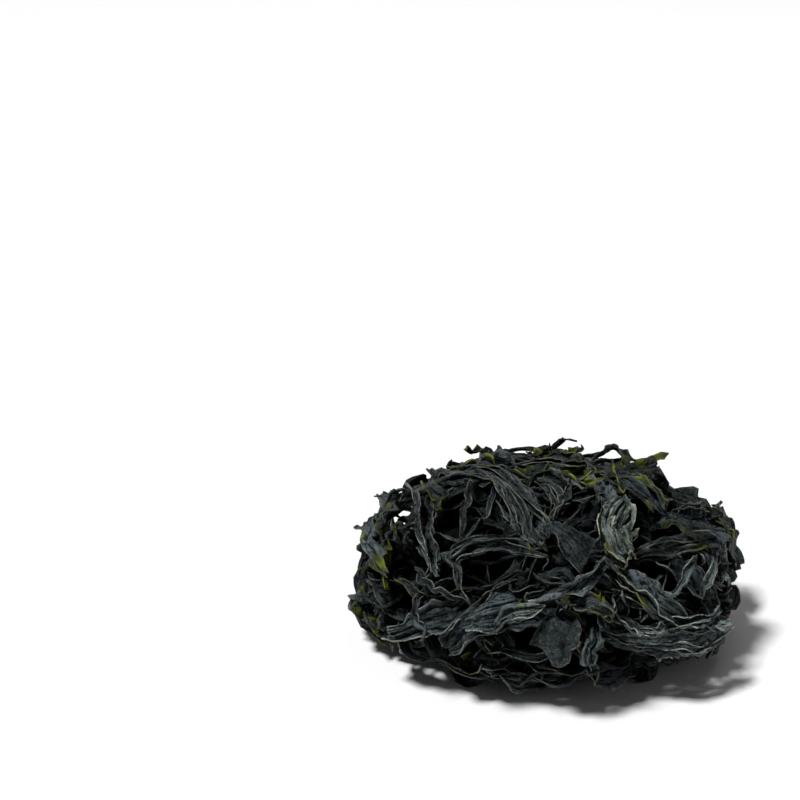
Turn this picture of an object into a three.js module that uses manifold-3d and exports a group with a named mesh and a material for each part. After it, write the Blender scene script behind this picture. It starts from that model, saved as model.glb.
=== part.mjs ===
// A whole dried wakame frond: one midrib with its lobes, dried into a loose mound.
// Millimetres, +Z up, the front of the mound towards -Y. The origin is the middle of
// the mound's footprint, on the surface that the frond rests on.
import * as THREE from "three";
import { mergeVertices } from "three/addons/utils/BufferGeometryUtils.js";
import Module from "manifold-3d";

// The mound that the dried frond fills, wider a little above the floor than on it.
const moundWidth = 165;
const moundDepth = 139;
const moundHeight = 70;
const waistHeight = 18; // height of the widest part
const squareness = 0.86; // 1 is an ellipsoid, and less has squarer shoulders

// The film and the rib, a little thicker than the real film so that the solid holds.
const filmThickness = 1.1;
const ribHalfWidth = 4.2;
const ribHalfThickness = 1.7;
const ribStations = 27;

// The lamina that is folded up inside, as a share of the mound, and its pleats.
const innerShare = 0.78;
const innerFoot = 1.1; // share of the waist's height that it hangs down
const pleatCount = 12;
const pleatDepth = 0.08;
const pleatLean = 30; // degrees that the pleats turn from one end to the other
const innerRings = 9;

const degrees = Math.PI / 180;
const vec = (x, y, z) => new THREE.Vector3(x, y, z);

// A seeded draw from 0 to 1, so that each run grows the same frond.
function seededDraw(seed) {
  let state = seed;
  return () => {
    state = (state * 1664525 + 1013904223) % 4294967296;
    return state / 4294967296;
  };
}

const squared = (v) => Math.sign(v) * Math.abs(v) ** squareness;

// A place on the mound: azimuth from +X towards +Y and elevation in degrees. A layer of 1 is
// the mound's skin, and less lies deeper.
function onMound([azimuth, elevation, layer]) {
  const a = azimuth * degrees;
  const e = elevation * degrees;
  const rise = e > 0 ? moundHeight - waistHeight : waistHeight;
  return vec(
    (layer * moundWidth * squared(Math.cos(e)) * Math.cos(a)) / 2,
    (layer * moundDepth * squared(Math.cos(e)) * Math.sin(a)) / 2,
    waistHeight + layer * rise * squared(Math.sin(e)),
  );
}

// The mound's outward direction at a point.
function outward(p) {
  const rise = p.z > waistHeight ? moundHeight - waistHeight : waistHeight;
  return vec(
    p.x / (moundWidth / 2) ** 2,
    p.y / (moundDepth / 2) ** 2,
    (p.z - waistHeight) / rise ** 2,
  ).normalize();
}

const smoothCurve = (points) =>
  new THREE.CatmullRomCurve3(points, false, "catmullrom", 0.5);

// The midrib: flat on the floor under the mound, then coiled up inside it, and out over its top.
const ribPath = [
  vec(-36, -10, 1.5),
  vec(-12, -3, 1.5),
  vec(12, 3, 1.5),
  vec(34, 12, 3),
  onMound([50, -12, 0.6]),
  onMound([105, 2, 0.6]),
  onMound([160, 12, 0.6]),
  onMound([215, 18, 0.6]),
  onMound([268, 24, 0.6]),
  onMound([318, 32, 0.62]),
  onMound([372, 42, 0.66]),
  onMound([425, 60, 0.8]),
  onMound([490, 74, 0.92]),
  onMound([528, 56, 0.92]),
  onMound([533, 34, 0.94]),
];

// How a kind of lobe is made. Widths are half widths along the lobe, as [share of its length, mm].
// rows: points along it, folds: pleats across it, pleat: their depth, curl: how far its sides cup,
// frill: height of the waves of its edges, waves: how many along it, turns: how often it is wrung,
// torn: how far its end and edges are torn in and out.
const kinds = {
  strap: {
    rows: 8, folds: 2, pleat: 3.6, curl: 0.14, frill: 1.4, waves: 2.5, turns: 0.14, torn: 2.5,
    widths: [[0, 2.2], [0.3, 3.6], [0.72, 6.0], [0.92, 5.2], [1, 2.6]],
  },
  bundle: {
    rows: 8, folds: 3, pleat: 4.2, curl: 0.3, frill: 0.4, waves: 2, turns: 0.1, torn: 3.5,
    widths: [[0, 2.6], [0.3, 5.0], [0.8, 6.0], [1, 3.6]],
  },
  rope: {
    rows: 7, folds: 2, pleat: 3.6, curl: 0.3, frill: 0.3, waves: 2.5, turns: 0.3, torn: 1.5,
    widths: [[0, 1.8], [0.3, 2.8], [0.8, 3.6], [1, 1.8]],
  },
  ribbon: {
    rows: 8, folds: 2, pleat: 2.4, curl: 0.2, frill: 0.3, waves: 2.5, turns: 0.6, torn: 1,
    widths: [[0, 1.5], [0.3, 2.2], [0.8, 2.9], [1, 1.2]],
  },
  blade: {
    rows: 7, folds: 3, pleat: 3.8, curl: -0.07, frill: 2.8, waves: 2.5, turns: 0.05, torn: 3.5,
    widths: [[0, 2.2], [0.28, 4.2], [0.62, 7.6], [0.88, 10.5], [1, 7.5]],
  },
  fan: {
    rows: 7, folds: 3, pleat: 3.0, curl: -0.1, frill: 1.8, waves: 2.5, turns: 0.06, torn: 3,
    widths: [[0, 1.8], [0.35, 3.4], [0.85, 9.5], [1, 7.0]],
  },
  leaf: {
    rows: 7, folds: 3, pleat: 2.6, curl: 0.16, frill: 2.2, waves: 3, turns: 0.2, torn: 1.5,
    widths: [[0, 1.6], [0.35, 5.4], [0.6, 7.6], [1, 1.0]],
  },
};

// The lobes placed one by one: two over the back and the top, two low down, and those that show
// from the front. Each as it lies on the mound: its kind, where along the midrib it grows, and the
// places that it passes, over those before it.
const frontLobes = [
  { kind: "strap", from: 0.76, path: [[132, 58, 0.78], [106, 46, 0.9], [82, 34, 0.92], [62, 18, 0.9]] },
  { kind: "strap", from: 0.78, path: [[96, 66, 0.8], [70, 82, 0.92], [-70, 82, 0.93], [-88, 62, 0.9]] },
  { kind: "strap", from: 0.52, path: [[236, 6, 0.8], [250, -14, 0.94], [266, -38, 1], [284, -62, 1.04]] },
  { kind: "leaf", from: 0.46, path: [[182, 28, 0.86], [190, 14, 0.98], [196, -6, 1.02], [204, -30, 1]] },
  { kind: "rope", from: 0.5, path: [[288, 48, 0.86], [294, 36, 0.95], [300, 22, 0.97], [312, 8, 0.96]] },
  { kind: "strap", from: 0.5, path: [[250, 24, 0.84], [240, 18, 0.94], [230, 12, 0.97], [216, 0, 0.98]] },
  { kind: "strap", from: 0.55, path: [[276, 40, 0.84], [264, 38, 0.92], [248, 18, 0.95], [240, 4, 0.97]] },
  { kind: "leaf", from: 0.46, path: [[220, 20, 0.84], [212, 16, 0.93], [206, 8, 0.97], [190, 0, 0.98]] },
  { kind: "strap", from: 0.7, path: [[304, 32, 0.84], [312, 36, 0.93], [318, 28, 0.96], [322, 12, 0.97]] },
  { kind: "rope", from: 0.62, path: [[300, 44, 0.88], [310, 44, 0.97], [328, 42, 0.99], [346, 30, 0.98]] },
  { kind: "blade", from: 0.8, path: [[314, 52, 0.86], [328, 54, 0.95], [340, 48, 0.98], [346, 32, 0.99]] },
  { kind: "rope", from: 0.78, path: [[152, 40, 0.9], [186, 50, 0.97], [212, 44, 0.99], [228, 34, 0.97]] },
  { kind: "leaf", from: 0.5, path: [[168, 40, 0.86], [180, 38, 0.95], [200, 32, 0.99], [212, 20, 0.98]] },
  { kind: "rope", from: 0.52, path: [[224, 34, 0.9], [232, 48, 0.98], [246, 52, 0.99], [262, 52, 0.96]] },
  { kind: "rope", from: 0.93, path: [[154, 40, 0.9], [162, 64, 1], [112, 78, 1.03], [64, 72, 1]] },
  { kind: "rope", from: 0.93, path: [[64, 56, 0.9], [-54, 84, 0.99], [-86, 74, 0.98], [-92, 64, 0.93]] },
  { kind: "strap", from: 0.88, path: [[120, 56, 0.92], [188, 82, 0.99], [264, 86, 0.99], [384, 82, 0.98]] },
  { kind: "bundle", from: 0.95, path: [[128, 60, 0.92], [196, 80, 1.03], [252, 68, 1.03], [266, 54, 1]] },
  { kind: "fan", from: 0.72, path: [[256, 68, 0.9], [268, 60, 1.01], [276, 52, 1.06], [282, 44, 1.06]] },
  { kind: "strap", from: 0.86, path: [[6, 60, 0.9], [-44, 64, 1], [-66, 56, 1.05], [-66, 44, 1.05]] },
  { kind: "bundle", from: 0.9, path: [[60, 64, 0.94], [36, 72, 1.08], [-4, 70, 1.04], [-28, 56, 1]] },
  { kind: "leaf", from: 0.55, path: [[284, 20, 0.86], [280, 16, 0.97], [280, 10, 1], [280, 4, 1.02]] },
  { kind: "blade", from: 0.6, path: [[288, 40, 0.92], [276, 32, 1.02], [262, 28, 1.04], [244, 20, 1.04]] },
  { kind: "fan", from: 0.55, path: [[284, 20, 0.88], [276, 20, 0.98], [270, 16, 1.02], [270, 6, 1.04]] },
  { kind: "bundle", from: 0.42, path: [[280, 8, 0.9], [290, 8, 1], [304, 8, 1.02], [322, 6, 1.03]] },
  { kind: "leaf", from: 0.8, path: [[356, 72, 0.9], [374, 66, 1.02], [380, 60, 1.08]] },
];

// The rest grow by rule, in rings from the floor up. high and low: the elevations that a lobe
// runs between. sweep: how far it swings sideways, in degrees. lift: its layers.
const rings = [
  {
    seed: 17, count: 12, first: 15, step: 30, from: [0.1, 0.46],
    high: [4, 16], low: [-66, -40], sweep: [24, 58], lift: [0.74, 0.92, 0.98, 1.0],
    kinds: ["strap", "blade", "bundle", "blade"],
  },
  {
    seed: 8, count: 9, first: 354, step: 25, from: [0.3, 0.7],
    high: [24, 40], low: [-24, 0], sweep: [30, 56], lift: [0.7, 0.9, 0.94, 0.95],
    kinds: ["blade", "strap", "ribbon"],
  },
  {
    seed: 5, count: 9, first: 350, step: 25, from: [0.62, 0.94],
    high: [56, 74], low: [2, 26], sweep: [24, 60], lift: [0.76, 0.94, 1.0, 0.98],
    kinds: ["strap", "blade", "bundle", "leaf"],
  },
];

function lobesByRule(rule) {
  const draw = seededDraw(rule.seed);
  const between = ([low, high]) => low + (high - low) * draw();
  const lobes = [];
  for (let i = 0; i < rule.count; i += 1) {
    const from = rule.from[0] + ((rule.from[1] - rule.from[0]) * (i + 0.5)) / rule.count;
    const azimuth = rule.first + rule.step * i + 12 * (draw() - 0.5);
    const sweep = between(rule.sweep) * (draw() < 0.5 ? -1 : 1);
    const high = between(rule.high);
    const low = between(rule.low);
    const path = rule.lift.map((layer, k) => {
      const share = k / (rule.lift.length - 1);
      return [azimuth + sweep * share, high + (low - high) * share, layer];
    });
    lobes.push({ kind: rule.kinds[i % rule.kinds.length], from, path });
  }
  return lobes;
}

// Points along the midrib, and along each lobe from its root on the midrib, with a seeded kink.
const kink = 1.8;

function layOut(lobes) {
  const rib = smoothCurve(ribPath);
  const draw = seededDraw(7);
  const chains = lobes.map((lobe) => {
    const { rows } = kinds[lobe.kind];
    const curve = smoothCurve([rib.getPoint(lobe.from), ...lobe.path.map(onMound)]);
    return curve.getPoints(rows).map((p, k) => {
      const free = kink * Math.min(1, k / 3);
      return p.add(vec(2 * draw() - 1, 2 * draw() - 1, 2 * draw() - 1).multiplyScalar(free));
    });
  });
  return { rib, chains };
}

// Each lobe lies over those laid before it, so where two meet they press each other apart.
const layerGap = 3.6;
const settleRounds = 50;
const stiffness = 0.3;
const lowestNode = 1.0;
const rootNodes = 2;

function settle(rib, chains, widths) {
  const ribPoints = rib.getPoints(ribStations - 1);
  const lack = (above, below, reach) => {
    const n = outward(above);
    const apart = above.clone().sub(below);
    const rise = apart.dot(n);
    const aside = Math.sqrt(Math.max(0, apart.lengthSq() - rise * rise)) / reach;
    if (aside >= 1) return null;
    const wanted = layerGap * (1 - aside * aside);
    return rise < wanted && rise > -3 * layerGap ? n.multiplyScalar(wanted - rise) : null;
  };
  for (let round = 0; round < settleRounds; round += 1) {
    const moves = chains.map((points) => points.map(() => vec(0, 0, 0)));
    for (let a = 0; a < chains.length; a += 1) {
      for (let i = rootNodes; i < chains[a].length; i += 1) {
        for (let b = 0; b < a; b += 1) {
          for (let j = rootNodes; j < chains[b].length; j += 1) {
            const push = lack(chains[a][i], chains[b][j], widths[a][i] + widths[b][j]);
            if (!push) continue;
            moves[a][i].addScaledVector(push, 0.25);
            moves[b][j].addScaledVector(push, -0.25);
          }
        }
        for (const q of ribPoints) {
          const push = lack(chains[a][i], q, widths[a][i] + ribHalfWidth);
          if (push) moves[a][i].addScaledVector(push, 0.3);
        }
      }
    }
    chains.forEach((points, a) => {
      const before = points.map((p) => p.clone());
      for (let i = 1; i < points.length; i += 1) {
        if (i < points.length - 1) {
          const middle = before[i - 1].clone().add(before[i + 1]).multiplyScalar(0.5);
          const bend = middle.sub(before[i]);
          const over = Math.max(0, bend.length() - kink);
          if (over > 0) points[i].addScaledVector(bend.normalize(), over * stiffness);
        }
        points[i].add(moves[a][i].clampLength(0, 0.8));
        points[i].z = Math.max(points[i].z, lowestNode);
      }
    });
  }
}

// The width of a lobe, eased between its stated widths.
function halfWidth(kind, t) {
  const { widths } = kind;
  let k = 0;
  while (k < widths.length - 2 && t > widths[k + 1][0]) k += 1;
  const [[t0, w0], [t1, w1]] = [widths[k], widths[k + 1]];
  const u = Math.min(1, Math.max(0, (t - t0) / (t1 - t0)));
  return w0 + (w1 - w0) * u * u * (3 - 2 * u);
}

// Directions along a chain: forward, and facing out of the blade, carried along without turning
// from the middle of the lobe, where the blade lies on the mound.
function facings(points) {
  const curve = smoothCurve(points);
  const n = points.length;
  const forward = points.map((_, k) => curve.getTangent(k / (n - 1)));
  const middle = Math.floor(n * 0.6);
  const face = new Array(n);
  const square = (v, k) =>
    v.clone().addScaledVector(forward[k], -v.dot(forward[k])).normalize();
  face[middle] = square(outward(points[middle]), middle);
  for (let k = middle + 1; k < n; k += 1) face[k] = square(face[k - 1], k);
  for (let k = middle - 1; k >= 0; k -= 1) face[k] = square(face[k + 1], k);
  return { forward, face };
}

// How far a blade's surface stands out of its flat line, at s across (-1 to 1) and t along.
function standOut(kind, phase, s, t) {
  const w = halfWidth(kind, t);
  const widest = Math.max(...kind.widths.map((x) => x[1]));
  const opened = w / widest;
  const depth = kind.pleat * (1 - 0.3 * opened) * Math.min(1, w / 3);
  const uneven = 0.7 + 0.3 * Math.sin(3.1 * s + 5 * t + phase);
  const fold = 0.5 * depth * uneven * Math.cos((Math.PI * kind.folds * (s + 1)) / 2);
  const cup = kind.curl * w * (s * s - 0.33);
  const side = s > 0 ? 1.7 : 0;
  const wave = Math.sin(2 * Math.PI * kind.waves * t + phase + side);
  const frill = kind.frill * opened * Math.abs(s) ** 3 * wave;
  return fold + cup + frill;
}

// A closed thin sheet with the same split of triangles on both faces. place(i, j, side) gives a
// corner, with side 1 on the outer face and -1 on the inner one.
function sheet(rows, columns, place) {
  const positions = [];
  const index = [];
  const at = (i, j, side) => (side > 0 ? 0 : (rows + 1) * (columns + 1)) + i * (columns + 1) + j;
  for (const side of [1, -1]) {
    for (let i = 0; i <= rows; i += 1) {
      for (let j = 0; j <= columns; j += 1) positions.push(...place(i, j, side).toArray());
    }
  }
  const quad = (a, b, c, d) => index.push(a, b, c, a, c, d);
  for (let i = 0; i < rows; i += 1) {
    for (let j = 0; j < columns; j += 1) {
      const corners = [[i, j], [i, j + 1], [i + 1, j + 1], [i + 1, j]];
      const [a, b, c, d] = corners.map(([m, n]) => at(m, n, 1));
      index.push(a, b, c, a, c, d);
      const [e, f, g, h] = corners.map(([m, n]) => at(m, n, -1));
      index.push(e, g, f, e, h, g);
    }
  }
  for (let i = 0; i < rows; i += 1) {
    quad(at(i, 0, -1), at(i, 0, 1), at(i + 1, 0, 1), at(i + 1, 0, -1));
    quad(at(i, columns, 1), at(i, columns, -1), at(i + 1, columns, -1), at(i + 1, columns, 1));
  }
  for (let j = 0; j < columns; j += 1) {
    quad(at(0, j, 1), at(0, j, -1), at(0, j + 1, -1), at(0, j + 1, 1));
    quad(at(rows, j, -1), at(rows, j, 1), at(rows, j + 1, 1), at(rows, j + 1, -1));
  }
  const geometry = new THREE.BufferGeometry();
  geometry.setAttribute("position", new THREE.Float32BufferAttribute(positions, 3));
  geometry.setIndex(index);
  return geometry;
}

function lobeSheet(lobe, points, number) {
  const kind = kinds[lobe.kind];
  const { forward, face } = facings(points);
  const rows = kind.rows;
  const draw = seededDraw(31 + number);
  const edge = points.map(() => [1, 1].map(() => kind.torn * (draw() - 0.6)));
  const tip = [...Array(kind.folds + 1)].map(() => kind.torn * (2 * draw() - 1));
  return sheet(rows, kind.folds, (i, j, side) => {
    const t = i / rows;
    const s = -1 + (2 * j) / kind.folds;
    const turn = 2 * Math.PI * kind.turns * (t - 0.6);
    const across = forward[i].clone().cross(face[i]);
    const facing = face[i].clone().multiplyScalar(Math.cos(turn)).addScaledVector(across, Math.sin(turn));
    const level = forward[i].clone().cross(facing);
    const width = halfWidth(kind, t);
    const tear = Math.abs(s) === 1 ? edge[i][s > 0 ? 1 : 0] * (width / 7) * Math.min(1, 3 * t) : 0;
    return points[i]
      .clone()
      .addScaledVector(level, (width + tear) * s)
      .addScaledVector(forward[i], i === rows ? tip[j] : 0)
      .addScaledVector(facing, standOut(kind, 1.3 * number, s, t) + (side * filmThickness) / 2);
  });
}

// The midrib: a flattened stem with a shallow groove along both faces.
function ribSolid(rib) {
  const points = rib.getPoints(ribStations - 1);
  const { forward, face } = facings(points);
  return sheet(ribStations - 1, 2, (i, j, side) => {
    const t = i / (ribStations - 1);
    const s = -1 + j;
    const taper = 1 - 0.55 * t;
    const level = forward[i].clone().cross(face[i]);
    const thick = ribHalfThickness * (1 - 0.6 * s ** 4) * (1 - 0.35 * t);
    return points[i]
      .clone()
      .addScaledVector(level, ribHalfWidth * taper * s)
      .addScaledVector(face[i], side * thick);
  });
}

// The lamina folded up inside: a closed form with pleats that run across the mound, and lean.
function innerSolid() {
  const geometry = new THREE.SphereGeometry(1, 2 * pleatCount, innerRings);
  const place = geometry.getAttribute("position");
  for (let k = 0; k < place.count; k += 1) {
    const along = place.getY(k);
    const ring = Math.sqrt(Math.max(0, 1 - along ** 2));
    const round = Math.atan2(place.getZ(k), place.getX(k));
    const column = Math.round((round / Math.PI) * pleatCount);
    const uneven = 1 + 0.5 * Math.sin(5 * round + 3 * along);
    const pleat = pleatDepth * ring * Math.cos(Math.PI * column) * uneven;
    const lump = 0.05 * ring * Math.sin(3 * round + 4 * along);
    const turned = round + pleatLean * degrees * along;
    const u = vec(-along, ring * Math.cos(turned), ring * Math.sin(turned));
    const azimuth = Math.atan2(u.y, u.x) / degrees;
    const elevation = Math.asin(Math.min(1, Math.max(-1, u.z))) / degrees;
    const p = onMound([azimuth, elevation, innerShare * (1 + pleat + lump)]);
    if (u.z < 0) p.z = waistHeight * (1 + innerFoot * (1 + pleat) * u.z);
    place.setXYZ(k, p.x, p.y, p.z);
  }
  return geometry;
}

// Joining, with the floor as a cut, so that what lies on it is flat underneath.
const wasm = await Module();
wasm.setup();

function asSolid(geometry) {
  const bare = geometry.clone();
  bare.deleteAttribute("normal");
  bare.deleteAttribute("uv");
  const merged = mergeVertices(bare, 1e-4);
  return new wasm.Manifold(
    new wasm.Mesh({
      numProp: 3,
      vertProperties: merged.getAttribute("position").array,
      triVerts: new Uint32Array(merged.index.array),
    }),
  );
}

function asGeometry(solid) {
  const mesh = solid.getMesh();
  const geometry = new THREE.BufferGeometry();
  geometry.setAttribute("position", new THREE.Float32BufferAttribute(mesh.vertProperties, 3));
  geometry.setIndex(new THREE.BufferAttribute(mesh.triVerts, 1));
  geometry.computeVertexNormals();
  return geometry;
}

function grow() {
  const lobes = [...rings.flatMap(lobesByRule), ...frontLobes];
  const { rib, chains } = layOut(lobes);
  const widths = lobes.map(({ kind }, a) =>
    chains[a].map((_, k) => halfWidth(kinds[kind], k / (chains[a].length - 1))),
  );
  settle(rib, chains, widths);
  let frond = asSolid(ribSolid(rib)).add(asSolid(innerSolid()));
  lobes.forEach((lobe, k) => {
    frond = frond.add(asSolid(lobeSheet(lobe, chains[k], k)));
  });
  const room = new THREE.BoxGeometry(3 * moundWidth, 3 * moundDepth, 2 * moundHeight);
  room.translate(0, 0, moundHeight);
  frond = frond.intersect(asSolid(room));
  const [whole] = frond.decompose().sort((a, b) => b.volume() - a.volume());
  const geometry = asGeometry(whole);
  geometry.computeBoundingBox();
  const middle = geometry.boundingBox.getCenter(vec(0, 0, 0));
  return geometry.translate(-middle.x, -middle.y, 0);
}

const dried = new THREE.MeshStandardMaterial({ color: 0x23282a, roughness: 0.55, metalness: 0 });
const frond = new THREE.Mesh(grow(), dried);
frond.name = "frond";

const wakame = new THREE.Group();
wakame.add(frond);
export default wakame;
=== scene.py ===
# A whole dried wakame frond, dried into a loose mound. The lobes are laid out by the same rule as
# in the solid, in millimetres, and get their fine folds, rolled edges and torn ends here.
import math
from types import SimpleNamespace

import bmesh
import bpy
import numpy as np
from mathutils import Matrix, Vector


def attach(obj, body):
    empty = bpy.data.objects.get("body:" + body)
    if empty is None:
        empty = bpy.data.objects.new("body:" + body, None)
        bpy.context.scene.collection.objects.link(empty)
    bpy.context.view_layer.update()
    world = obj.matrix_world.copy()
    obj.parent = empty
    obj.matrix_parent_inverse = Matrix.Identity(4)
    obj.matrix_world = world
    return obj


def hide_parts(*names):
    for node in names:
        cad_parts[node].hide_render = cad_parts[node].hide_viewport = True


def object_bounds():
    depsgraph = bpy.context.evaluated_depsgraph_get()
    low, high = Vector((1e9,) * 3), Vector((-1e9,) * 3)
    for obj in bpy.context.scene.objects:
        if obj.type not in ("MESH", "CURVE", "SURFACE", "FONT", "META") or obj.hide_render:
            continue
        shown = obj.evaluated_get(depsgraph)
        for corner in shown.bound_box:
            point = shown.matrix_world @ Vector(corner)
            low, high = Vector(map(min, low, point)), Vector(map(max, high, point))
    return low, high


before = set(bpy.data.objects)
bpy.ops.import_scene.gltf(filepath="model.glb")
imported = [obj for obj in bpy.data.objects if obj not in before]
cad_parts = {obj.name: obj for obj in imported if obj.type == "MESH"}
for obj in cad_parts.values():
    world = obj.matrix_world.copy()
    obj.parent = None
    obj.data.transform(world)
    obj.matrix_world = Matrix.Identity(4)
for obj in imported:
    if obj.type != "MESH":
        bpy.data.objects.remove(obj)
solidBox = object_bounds()

mm = 0.001

mound = {
    "width": 165.0,
    "depth": 139.0,
    "height": 70.0,
    "waist": 18.0,  # the height at which it is widest
    "radius": 66.0,  # about the same all round, for lengths along its surface
    "squareness": 0.86,
    "middle": (0.4892, -4.0561),  # the place that the frame puts at x 0, y 0
    "kink": 1.8,  # how far the points of a lobe stray from a smooth curve
    "crown": 71.5,  # what stands above this is pressed down by half
    "inset": (2.5, 2.5, 3.2),  # how far small pieces stay inside the solid's box
    # Painted shade: darkLayer, dimmest, darkTop, darkFrom and darkOver darken the film's colour deep in the
    # mound and near the top.
    "darkLayer": 0.8,  # a layer that is in full shade, where 1 is the outside
    "dimmest": 0.06,
    "darkTop": 0.64,  # how much darker the lobes are at the top
    "darkFrom": 46.0,
    "darkOver": 16.0,
}


def seededDraw(seed):
    state = [seed]

    def draw():
        state[0] = (state[0] * 1664525 + 1013904223) % 4294967296
        return state[0] / 4294967296

    return draw


def squared(v):
    return np.sign(v) * np.abs(v) ** mound["squareness"]


# A place on the mound: the azimuth is 0 at the right and 90 at the back, both angles are in
# degrees, and the layer is 0 in the middle and 1 at the outside.
def onMound(azimuth, elevation, layer):
    a = np.radians(azimuth)
    e = np.radians(elevation)
    rise = np.where(np.asarray(e) > 0, mound["height"] - mound["waist"], mound["waist"])
    reach = layer * squared(np.cos(e)) / 2
    return np.stack(
        np.broadcast_arrays(
            reach * mound["width"] * np.cos(a),
            reach * mound["depth"] * np.sin(a),
            mound["waist"] + layer * rise * squared(np.sin(e)),
        ),
        axis=-1,
    )


def unit(v):
    return v / np.maximum(np.linalg.norm(v, axis=-1, keepdims=True), 1e-9)


def riseAt(p):
    return np.where(p[..., 2] > mound["waist"], mound["height"] - mound["waist"], mound["waist"])


def outward(p):
    return unit(
        np.stack(
            [
                p[..., 0] / (mound["width"] / 2) ** 2,
                p[..., 1] / (mound["depth"] / 2) ** 2,
                (p[..., 2] - mound["waist"]) / riseAt(p) ** 2,
            ],
            axis=-1,
        )
    )


# How far out in the mound a place lies: 0 deep inside, 1 at the outside.
def outerness(p):
    x = 2 * p[:, 0] / mound["width"]
    y = 2 * p[:, 1] / mound["depth"]
    z = (p[:, 2] - mound["waist"]) / riseAt(p)
    layer = (np.abs(np.stack([x, y, z], -1)) ** (2 / mound["squareness"])).sum(-1)
    layer = layer ** (mound["squareness"] / 2)
    share = np.clip((layer - mound["darkLayer"]) / (1 - mound["darkLayer"]), 0, 1)
    return share * share * (3 - 2 * share)


# A smooth curve through the points, eased past both ends.
def onCurve(points, t):
    points = np.asarray(points, float)
    n = len(points)
    padded = np.vstack([2 * points[0] - points[1], points, 2 * points[-1] - points[-2]])
    place = np.clip(np.atleast_1d(t), 0, 1) * (n - 1)
    k = np.minimum(np.floor(place).astype(int), n - 2)
    u = (place - k)[:, None]
    a, b, c, d = padded[k], padded[k + 1], padded[k + 2], padded[k + 3]
    start, end = (c - a) / 2, (d - b) / 2
    return b + start * u + (3 * (c - b) - 2 * start - end) * u**2 + (2 * (b - c) + start + end) * u**3


def alongCurve(points, t):
    t = np.atleast_1d(t)
    return unit(onCurve(points, np.minimum(t + 1e-4, 1)) - onCurve(points, np.maximum(t - 1e-4, 0)))


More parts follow.
